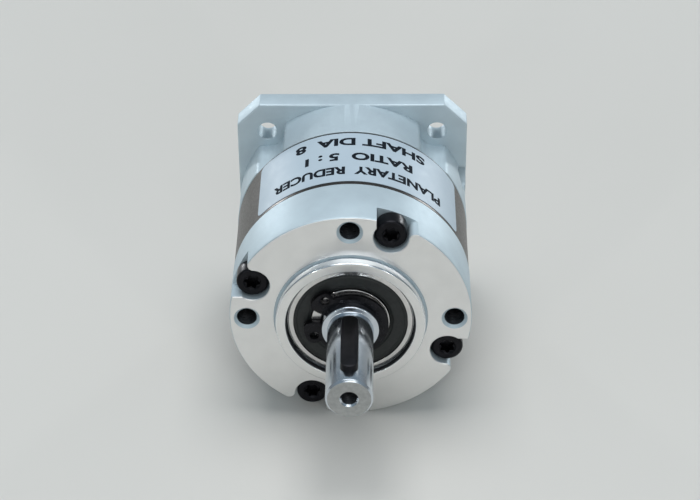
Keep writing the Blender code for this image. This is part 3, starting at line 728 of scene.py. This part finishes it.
def flat_strip(item, step):
    """Cut a flat mesh across its width, so that it can be wrapped smoothly."""
    shape = bmesh.new()
    shape.from_mesh(item.data)
    low = min(v.co.x for v in shape.verts)
    high = max(v.co.x for v in shape.verts)
    for index in range(1, int((high - low) / (MM * step)) + 1):
        geometry = shape.verts[:] + shape.edges[:] + shape.faces[:]
        bmesh.ops.bisect_plane(
            shape, geom=geometry, plane_co=(low + index * MM * step, 0, 0), plane_no=(1, 0, 0)
        )
    shape.to_mesh(item.data)
    shape.free()
    return item


def wrapped(item, radius):
    """Wrap a flat mesh round the axis: x runs round it from LABEL_START, y along it."""
    for vertex in item.data.vertices:
        x, y, z = vertex.co
        angle = math.radians(LABEL_START) + x / (MM * radius)
        reach = MM * radius + z
        vertex.co = (reach * math.cos(angle), reach * math.sin(angle), y)
    return item


def make_nameplate():
    width = math.radians(LABEL_END - LABEL_START) * LABEL_RADIUS
    corner = 1.1
    thickness = 0.055
    corners = [(0, LABEL_BOTTOM, corner), (width, LABEL_BOTTOM, corner)]
    corners += [(width, LABEL_TOP, corner), (0, LABEL_TOP, corner)]
    outline = rounded(corners, 8)
    label = extruded("label_film", [outline], -thickness, 0)
    wrapped(flat_strip(label, STRIP), LABEL_RADIUS)
    show(label, "nameplate", FILM, smooth=40)


def text_mesh(name, words, letter_height, width):
    """Flat words in the built-in font, stretched to a width and a letter height."""
    bold = 0.04
    curve = bpy.data.curves.new(name, "FONT")
    curve.body = words
    curve.align_x = "CENTER"
    curve.align_y = "CENTER"
    curve.size = 1.0
    curve.offset = bold
    curve.resolution_u = 4
    source = bpy.data.objects.new(name, curve)
    bpy.context.scene.collection.objects.link(source)
    mesh = applied(source)
    item = bpy.data.objects.new(name, mesh)
    bpy.context.scene.collection.objects.link(item)
    low = [min(v.co[i] for v in mesh.vertices) for i in range(2)]
    high = [max(v.co[i] for v in mesh.vertices) for i in range(2)]
    scale_x = MM * width / (high[0] - low[0])
    scale_y = MM * letter_height / (high[1] - low[1])
    for vertex in mesh.vertices:
        vertex.co.x = (vertex.co.x - (low[0] + high[0]) / 2) * scale_x
        vertex.co.y = (vertex.co.y - (low[1] + high[1]) / 2) * scale_y
    return item


def make_label_text():
    """Three generic rows: words, height along the axis, start and end in degrees."""
    letter_height = 2.45
    rows = [
        ("PLANETARY  REDUCER", 25.7, 42.0, 130.0),
        ("RATIO  5 : 1", 21.2, 59.0, 112.5),
        ("SHAFT DIA  8", 16.4, 51.7, 118.0),
    ]
    for index, (words, height, start, end) in enumerate(rows, 1):
        width = math.radians(end - start) * LABEL_RADIUS
        text = text_mesh(f"label_text_{index}", words, letter_height, width)
        middle = math.radians((start + end) / 2 - LABEL_START) * LABEL_RADIUS
        solid = text.modifiers.new("Thickness", "SOLIDIFY")
        solid.thickness = MM * 0.03
        solid.offset = 0
        bake(text)
        moved(text, Matrix.Translation((MM * middle, MM * height, 0)))
        wrapped(flat_strip(text, STRIP), LABEL_RADIUS)
        show(text, "", INK, replace=False)


# Input flange

CLAMP_SCREW_PLACE = Matrix.Translation(
    (0, MM * CLAMP_SCREW_OFFSET, MM * CLAMP_SCREW_HEIGHT)
) @ Matrix.Rotation(math.pi / 2, 4, "Y")


def scallop_bite():
    """Outline of the neck at a motor screw, about 0 degrees, and its half angle."""
    distance = MOTOR_HOLE_OFFSET * math.sqrt(2)
    scallop_radius = 3.25
    blend = 1.2
    blend_distance = FRAME_RADIUS - blend
    squares = blend_distance**2 + distance**2 - (scallop_radius + blend) ** 2
    half = math.degrees(math.acos(squares / (2 * blend_distance * distance)))
    before = polar(blend_distance, -half)
    after = polar(blend_distance, half)
    meet = math.degrees(math.atan2(-before[1], distance - before[0]))
    points = arc(before, blend, -half, meet, 10)
    points += arc((distance, 0), scallop_radius, 180 + meet, 180 - meet, 24)[1:-1]
    points += arc(after, blend, -meet, half, 10)
    return points, half


def make_input_flange():
    plate_top = 4.0
    corner_cut = 4.2
    edge = FRAME_RADIUS
    corner = FRAME_RADIUS - corner_cut
    plate_loop = []
    for quarter in range(4):
        sides = [(edge, -corner), (edge, corner)]
        plate_loop += turned_outline(sides, 90 * quarter)
    plate_loop = rounded([(x, y, 0.5) for x, y in plate_loop], 4)
    flange = lofted("flange_body", plate_loop, soft_steps(0, plate_top, 0.15, 0.3))
    bite, half = scallop_bite()
    neck_loop = []
    for angle in CORNERS:
        neck_loop += turned_outline(bite, angle)
        neck_loop += arc((0, 0), FRAME_RADIUS, angle + half, angle + 90 - half, 36)[1:-1]
    steps = [(0, 3.0), (0, FLANGE_TOP - 0.12), (-0.12, FLANGE_TOP)]
    join(flange, lofted("neck", neck_loop, steps))
    seat = half_width("input_bearing_outer_ring") + GAP
    seat_bottom = 7.9
    shoulder_radius = 8.4
    room_radius, room_top = 10.0, 7.45
    recess_radius, recess_depth = 11.05, 2.0
    bore = rounded([
        (0, FLANGE_TOP + 1),
        (seat + 0.3, FLANGE_TOP + 1),
        (seat + 0.3, FLANGE_TOP),
        (seat, FLANGE_TOP - 0.3),
        (seat, seat_bottom),
        (shoulder_radius, seat_bottom),
        (shoulder_radius, room_top),
        (room_radius, room_top),
        (room_radius, recess_depth, 0.15),
        (recess_radius, recess_depth),
        (recess_radius, 0.3),
        (recess_radius + 0.3, 0),
        (recess_radius + 0.3, -1),
        (0, -1),
    ])
    thread = 1.5
    motor_hole = 1.75
    access_hole = 2.2
    cutters = [turned("bore", bore, 160, False)]
    for angle in POCKET_ANGLES:
        centre = polar(SCREW_CIRCLE, angle)
        hole = [(0, FLANGE_TOP + 1), (thread, FLANGE_TOP + 1), (thread, 6), (0, 5.2)]
        cutters.append(turned("thread", hole, 28, False, centre))
    for angle in CORNERS:
        centre = polar(MOTOR_HOLE_OFFSET * math.sqrt(2), angle)
        hole = [(0, 5), (2.8, 5), (motor_hole, 3.95), (motor_hole, 0.15), (2.9, -1), (0, -1)]
        cutters.append(turned("motor_hole", hole, 48, False, centre))
    access = [(0, 24), (3.2, 24), (3.2, FRAME_RADIUS + 0.95), (access_hole, FRAME_RADIUS - 0.1)]
    access += [(access_hole, 8), (0, 8)]
    cutters.append(moved(turned("access", access, 48, False), CLAMP_SCREW_PLACE))
    cut(flange, *cutters)
    show(flange, "input_flange", [BLASTED, MACHINED])
    paint(flange, 1, lambda p, n: p.z < 2.1 and n.z < -0.9)


# Screws


def star_outline(middle, wave, points=72):
    """Six-lobed socket; the wave is how far lobes and valleys lie from the middle radius."""
    result = []
    for index in range(points):
        angle = 360 * index / points + 1.3
        result.append(polar(middle + wave * math.cos(math.radians(6 * angle)), angle))
    return result


def make_housing_screws():
    head_height = 3.0
    head_radius, shank_radius = 2.75, 1.45
    shank_bottom, head_top = along("housing_screw_1")
    head_bottom = head_top - head_height
    turns = (17, 48, 5, 33)  # of each screw as it was left when tightened, in degrees
    profile = rounded([
        (0, head_top),
        (head_radius, head_top, 0.5),
        (head_radius, head_bottom, 0.1),
        (shank_radius, head_bottom),
        (shank_radius, shank_bottom + 0.4),
        (1.05, shank_bottom),
        (0, shank_bottom),
    ], 6)
    for number, angle in enumerate(POCKET_ANGLES, 1):
        centre = polar(SCREW_CIRCLE, angle)
        screw = turned(f"housing_screw_piece_{number}", profile, 64, False)
        mouth_top, mouth_bottom = head_top + 0.5, head_top - 0.25
        mouth = [(0, mouth_top), (2.05, mouth_top), (1.3, mouth_bottom), (0, mouth_bottom)]
        star = lofted("socket", star_outline(1.2, 0.19), [(0, head_top - 1.7), (0, head_top)])
        cut(screw, turned("mouth", mouth, 48, False), star)
        turn = Matrix.Rotation(math.radians(turns[number - 1]), 4, "Z")
        moved(screw, Matrix.Translation((MM * centre[0], MM * centre[1], 0)) @ turn)
        show(screw, f"housing_screw_{number}", BLACK)


# Front bearing and circlip


def make_front_bearing():
    outer = half_width("front_bearing_outer_ring")
    bottom, top = along("front_bearing_outer_ring")
    seal_seat, seal_room = 9.9, 0.85
    outer_land, inner_land = 9.23, 6.77
    groove_depth, groove_bottom, groove_middle, groove_top = 0.44, 37.5, 38.5, 39.5
    profile = rounded([
        (outer, top, 0.42),
        (outer, bottom, 0.28),
        (seal_seat, bottom, 0.08),
        (seal_seat, bottom + seal_room),
        (outer_land, bottom + seal_room),
        (outer_land, groove_bottom),
        (outer_land + groove_depth, groove_middle),
        (outer_land, groove_top),
        (outer_land, top - seal_room),
        (seal_seat, top - seal_room),
        (seal_seat, top, 0.08),
    ], 5)
    show(turned("outer_race", profile, 160), "front_bearing_outer_ring", BEARING)
    bore = 5.0
    inner = [
        (inner_land, top, 0.12),
        (inner_land, groove_top),
        (inner_land - groove_depth, groove_middle),
        (inner_land, groove_bottom),
        (inner_land, bottom, 0.12),
        (bore, bottom, 0.25),
        (bore, top, 0.25),
    ]
    race = turned("inner_race", rounded(inner, 5), 128)
    show(race, "front_bearing_inner_ring", BEARING, "output")
    seal_bottom, seal_top = along("front_bearing_front_seal")
    seal = [
        (9.85, seal_top - 0.12, 0.08),
        (9.85, seal_bottom),
        (6.9, seal_bottom),
        (6.9, seal_top - 0.22, 0.06),
        (7.25, seal_top - 0.16, 0.05),
        (7.45, seal_top, 0.08),
        (9.25, seal_top, 0.08),
        (9.4, seal_top - 0.12, 0.05),
    ]
    ring = turned("shaft_seal", rounded(seal, 4), 160)
    show(ring, "front_bearing_front_seal", RUBBER)


def make_shaft_circlip():
    bore, lug_radius, beam_radius, taper_most = 4.75, 8.2, 6.15, 0.45
    hole_radius, hole_circle, hole_angle = 0.78, 6.7, 35.0
    gap_centre = 165.0
    gap_half = 10.5
    lug_middle = 29.5
    lug_half = lug_middle - gap_half
    bottom, top = along("shaft_circlip")
    outer = []
    angle = gap_half
    while angle <= 360 - gap_half:
        from_gap = min(angle, 360 - angle)
        across = (from_gap - lug_middle) / lug_half
        swell = math.sqrt(1 - min(1, across**4))
        taper = taper_most * (0.5 - 0.5 * math.cos(math.radians(angle)))
        beam = beam_radius + taper
        outer.append(polar(beam + (lug_radius - beam_radius - taper) * swell, gap_centre + angle))
        angle += 1.0 if from_gap < 2 * lug_middle + 2 else 3.0
    inner = arc((0, 0), bore, gap_centre + 360 - gap_half, gap_centre + gap_half, 90)
    loops = [outer + inner]
    for side in (-hole_angle, hole_angle):
        loops.append(circle(hole_radius, 28, polar(hole_circle, gap_centre + side)))
    clip = bevel(extruded("retaining_ring", loops, bottom, top), 0.07, 2)
    show(clip, "shaft_circlip", CIRCLIP_BLACK, "output")


# Output shaft and key


def key_outline(width, bottom, top, steps=20):
    half = width / 2
    front_end = arc((0, top - half), half, 0, 180, steps)
    back_end = arc((0, bottom + half), half, 180, 360, steps)
    return front_end + back_end


def facing_up(item):
    """A shape drawn in plan, z outwards, is turned so that z points out of the shaft's top."""
    turn = Matrix.Rotation(math.pi, 4, "Z") @ Matrix.Rotation(math.pi / 2, 4, "X")
    return moved(item, turn)


def make_output_shaft():
    clip_bottom, clip_top = along("shaft_circlip")
    collar_top = 44.05
    chamfer = 0.35
    clip_groove = 4.7
    shoulder_radius = 6.0
    shoulder_top = CARRIER_TOP + 0.25
    profile = rounded([
        (0, SHAFT_TOP),
        (SHAFT_RADIUS - chamfer, SHAFT_TOP, 0.06),
        (SHAFT_RADIUS, SHAFT_TOP - chamfer, 0.12),
        (SHAFT_RADIUS, collar_top + 0.02, 0.2),
        (SEAT_RADIUS, collar_top, 0.22),
        (SEAT_RADIUS, clip_top + GAP, 0.04),
        (clip_groove, clip_top + GAP),
        (clip_groove, clip_bottom - GAP),
        (SEAT_RADIUS, clip_bottom - GAP),
        (SEAT_RADIUS, shoulder_top),
        (shoulder_radius, shoulder_top),
        (shoulder_radius, CARRIER_TOP),
        (CARRIER_RADIUS, CARRIER_TOP, 0.3),
        (CARRIER_RADIUS, CARRIER_BOTTOM, 0.3),
        (0, CARRIER_BOTTOM),
    ], 6)
    shaft = turned("shaft_and_carrier", profile, 128, False)
    post_radius, post_circle, post_bottom, post_top = 2.3, 10.5, 16.45, 28
    posts = []
    for angle in PLANET_ANGLES:
        post = [(0, post_top), (post_radius, post_top)]
        post += [(post_radius, post_bottom), (0, post_bottom)]
        posts.append(turned("post", post, 40, False, polar(post_circle, angle + 60)))
    join(shaft, *posts)
    outline = key_outline(KEY_WIDTH + 2 * GAP, KEY_BOTTOM - GAP, KEY_TOP + GAP)
    tools = [facing_up(lofted("keyway", outline, [(0, KEYWAY_FLOOR), (0, SHAFT_RADIUS + 1)]))]
    drill_radius, thread_radius, pitch = 1.25, 1.48, 0.5
    mouth = [(0, SHAFT_TOP + 1), (2.6, SHAFT_TOP + 1), (1.65, SHAFT_TOP + 0.05)]
    mouth += [(drill_radius, SHAFT_TOP - 0.35), (0, SHAFT_TOP - 0.35)]
    tools.append(turned("mouth", mouth, 48, False))
    bottom, top = SHAFT_TOP - 8, SHAFT_TOP - 0.3
    tools.append(threaded("tap", drill_radius, thread_radius, pitch, bottom, top))
    pin_hole = 2.05
    for angle in PLANET_ANGLES:
        pin = [(0, 30), (pin_hole, 30), (pin_hole, 26), (0, 26)]
        tools.append(turned("pin_hole", pin, 40, False, polar(PLANET_CIRCLE, angle)))
    cut(shaft, *tools)
    show(shaft, "output_shaft", [POLISHED, END_FACE, PAINTED_SHADE], "output", 30)
    end_face, shadow = 1, 2
    paint(shaft, end_face, lambda p, n: p.z > SHAFT_TOP - 0.1 and n.z > 0.8)
    # Painted shade inside the tapped hole in the shaft's end.
    paint(shaft, shadow, lambda p, n: p.xy.length < 1.6 and SHAFT_TOP - 9 < p.z < SHAFT_TOP - 0.3)


def make_shaft_key():
    outline = key_outline(KEY_WIDTH, KEY_BOTTOM, KEY_TOP, 24)
    key_low = KEYWAY_FLOOR + GAP
    steps = [(-0.2, key_low), (0, key_low + 0.2), (0, KEY_HIGH - 0.22), (-0.06, KEY_HIGH - 0.06)]
    steps.append((-0.22, KEY_HIGH))
    key = facing_up(lofted("parallel_key", outline, steps))
    show(key, "shaft_key", BLACK, "output", 40)


# Motor side


def make_sun_gear_shaft():
    hub_radius, hub_bottom, hub_top = 4.0, 2.4, 7.3
    motor_bore, bore_top = 2.5, 12.8
    flange_radius, flange_bottom, flange_top = 5.8, 13.0, 13.6
    neck_radius, teeth_root = 3.6, 2.6
    profile = rounded([
        (0, 17.9),
        (teeth_root, 17.9),
        (teeth_root, 16.0),
        (neck_radius, 15.4),
        (neck_radius, flange_top),
        (flange_radius, flange_top, 0.15),
        (flange_radius, flange_bottom),
        (SEAT_RADIUS, flange_bottom),
        (SEAT_RADIUS, hub_top, 0.15),
        (hub_radius, hub_top),
        (hub_radius, hub_bottom, 0.25),
        (motor_bore, hub_bottom, 0.3),
        (motor_bore, bore_top),
        (0, bore_top),
    ], 5)
    sun = turned("sun_shaft", profile, 96, False)
    root_radius, tip_radius = 2.85, 4.2
    teeth_bottom, teeth_top = 16.9, 26.0
    teeth = gear_outline(SUN_TEETH, root_radius, tip_radius, TOOTH_THINNING, 0)
    join(sun, extruded("sun_teeth", [teeth], teeth_bottom, teeth_top))
    half_slot = 0.5
    slot = [(-half_slot, -6), (half_slot, -6), (half_slot, 6), (-half_slot, 6)]
    cut(sun, extruded("slot", [slot], 1, hub_top - 0.4))
    show(sun, "sun_gear_shaft", GEAR, "input")


def make_clamp():
    bottom, top = along("clamp_collar")
    outer = half_width("clamp_collar")
    bore = 4.05
    profile = [(outer, top, 0.3), (outer, bottom, 0.3), (bore, bottom, 0.15), (bore, top, 0.15)]
    collar = turned("collar", rounded(profile), 128)
    half_slot = 0.5
    flat_x, flat_y = 2.8, 3.3
    screw_hole = 1.35
    beyond = 12
    slot = [(-half_slot, 2), (half_slot, 2), (half_slot, beyond), (-half_slot, beyond)]
    flat = [(flat_x, flat_y), (beyond, flat_y), (beyond, beyond), (flat_x, beyond)]
    hole = [(0, beyond), (screw_hole, beyond), (screw_hole, -beyond), (0, -beyond)]
    tools = [extruded("slot", [slot], 1, 9), extruded("flat", [flat], 1, 9)]
    tools.append(moved(turned("hole", hole, 40, False), CLAMP_SCREW_PLACE))
    cut(collar, *tools)
    show(collar, "clamp_collar", BLACK, "input")
    head_radius, head_bottom, head_top = 2.1, 2.85, 5.25
    shank_radius, shank_end = 1.25, -6.5
    profile = rounded([
        (0, head_top),
        (head_radius, head_top, 0.3),
        (head_radius, head_bottom, 0.08),
        (shank_radius, head_bottom),
        (shank_radius, shank_end + 0.3),
        (0.95, shank_end),
        (0, shank_end),
    ], 5)
    screw = turned("cross_screw", profile, 56, False)
    hexagon = [polar(1.2, 60 * k) for k in range(6)]
    cut(screw, lofted("socket", hexagon, [(0, 3.9), (0, 5.15), (0.4, 5.55)]))
    moved(screw, CLAMP_SCREW_PLACE)
    show(screw, "clamp_screw", BLACK, "input")


def make_planet_gears():
    root_radius, tip_radius, bore = 4.65, 6.0, 3.0
    for number, angle in enumerate(PLANET_ANGLES, 1):
        bottom, top = along(f"planet_gear_{number}")
        half_pitch = 180 / PLANET_TEETH
        phase = angle + half_pitch
        teeth = gear_outline(PLANET_TEETH, root_radius, tip_radius, TOOTH_THINNING, phase)
        gear = extruded(f"planet_wheel_{number}", [teeth, circle(bore, 64)], bottom, top)
        x, y = polar(PLANET_CIRCLE, angle)
        moved(gear, Matrix.Translation((MM * x, MM * y, 0)))
        show(gear, f"planet_gear_{number}", GEAR, f"planet_{number}")


def finish_hidden_nodes():
    """CAD nodes that stay as they are get the material of their kind."""
    kinds = [
        ("seal", RUBBER),
        ("washer", BRONZE),
        ("bush", BRONZE),
        ("pin", BEARING),
        ("carrier", POLISHED),
    ]
    for name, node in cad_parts.items():
        if node.hide_render:
            continue
        chosen = next((material for word, material in kinds if word in name), BEARING)
        node.data.materials.clear()
        node.data.materials.append(chosen)


# Floor, light and camera


def floor_material():
    r = Recipe("pale_floor").set(Metallic=0.0)
    r.colours(r.noise(0.004, 3), (0.35, (0.60, 0.585, 0.55)), (0.65, (0.63, 0.615, 0.58)))
    r.roughness(r.noise(0.02, 3), 0.55, 0.65)
    return r.bump(r.noise(0.9, 3), 0.01).material


def make_floor():
    shape = bmesh.new()
    half_side = 1.5
    bmesh.ops.create_grid(shape, x_segments=8, y_segments=8, size=half_side)
    floor = finished("floor", shape)
    floor.data.materials.append(floor_material())


def area_light(name, place, size, power, colour):
    """A soft light aimed at the middle of the gearbox; place and size in metres."""
    target = (0, 0, AXIS_HEIGHT)
    lamp = bpy.data.lights.new(name, "AREA")
    lamp.shape = "RECTANGLE"
    lamp.size, lamp.size_y = size
    lamp.energy = power
    lamp.color = colour
    item = bpy.data.objects.new(name, lamp)
    bpy.context.scene.collection.objects.link(item)
    item.location = place
    item.rotation_euler = (Vector(target) - Vector(place)).to_track_quat("-Z", "Y").to_euler()


def make_lights():
    """Cool sky over a grey horizon, ceiling light, warm fill, two windows behind, two lamps."""
    sky_strength = 0.60
    world = bpy.data.worlds.new("studio")
    bpy.context.scene.world = world
    world.use_nodes = True
    tree = world.node_tree
    place = tree.nodes.new("ShaderNodeTexCoord")
    split = tree.nodes.new("ShaderNodeSeparateXYZ")
    ramp = tree.nodes.new("ShaderNodeValToRGB")
    tree.links.new(place.outputs["Generated"], split.inputs["Vector"])
    tree.links.new(split.outputs["Z"], ramp.inputs["Fac"])
    tree.links.new(ramp.outputs["Color"], tree.nodes["Background"].inputs["Color"])
    stops = ramp.color_ramp.elements
    stops[0].position, stops[0].color = 0.0, (0.36, 0.36, 0.36, 1)
    stops[1].position, stops[1].color = 0.6, (0.40, 0.50, 0.58, 1)
    tree.nodes["Background"].inputs["Strength"].default_value = sky_strength
    area_light("ceiling", (0, 0.15, 1.1), (0.9, 0.7), 8.6, (0.98, 0.99, 1.0))
    area_light("front_fill", (0.1, -0.9, 0.75), (0.8, 0.5), 2.3, (1.0, 0.98, 0.95))
    for side in (-1, 1):
        window = (side * 0.62, 0.92, 0.16)
        area_light(f"window_{side + 2}", window, (0.07, 0.20), 2.0, (0.95, 0.98, 1.0))
        lamp = (side * 0.45, -0.75, 0.28)
        area_light(f"lamp_{side + 2}", lamp, (0.03, 0.14), 0.55, (1.0, 0.99, 0.97))


def make_camera():
    """Angles in radians, place in metres; a long lens looking down at the shaft's end."""
    place = (0.005351, -0.3054, 0.243449)
    focal_length = 109.93
    pitch, yaw, roll = 0.612, -0.018, -0.011
    ahead = Vector((
        math.sin(yaw) * math.cos(pitch),
        math.cos(yaw) * math.cos(pitch),
        -math.sin(pitch),
    ))
    right = ahead.cross(Vector((0, 0, 1))).normalized()
    up = right.cross(ahead)
    tilted_right = math.cos(roll) * right + math.sin(roll) * up
    tilted_up = -math.sin(roll) * right + math.cos(roll) * up
    data = bpy.data.cameras.new("camera")
    data.sensor_width = 36
    data.lens = focal_length
    data.clip_start = 0.01
    camera = bpy.data.objects.new("camera", data)
    bpy.context.scene.collection.objects.link(camera)
    turn = Matrix((tilted_right, tilted_up, -ahead)).transposed().to_4x4()
    camera.matrix_world = Matrix.Translation(place) @ turn
    bpy.context.scene.camera = camera


make_output_housing()
make_ring_gear()
make_nameplate()
make_label_text()
make_input_flange()
make_housing_screws()
make_front_bearing()
make_shaft_circlip()
make_output_shaft()
make_shaft_key()
make_sun_gear_shaft()
make_clamp()
make_planet_gears()
finish_hidden_nodes()
make_floor()
make_lights()
make_camera()
bpy.context.scene.view_settings.view_transform = "Standard"
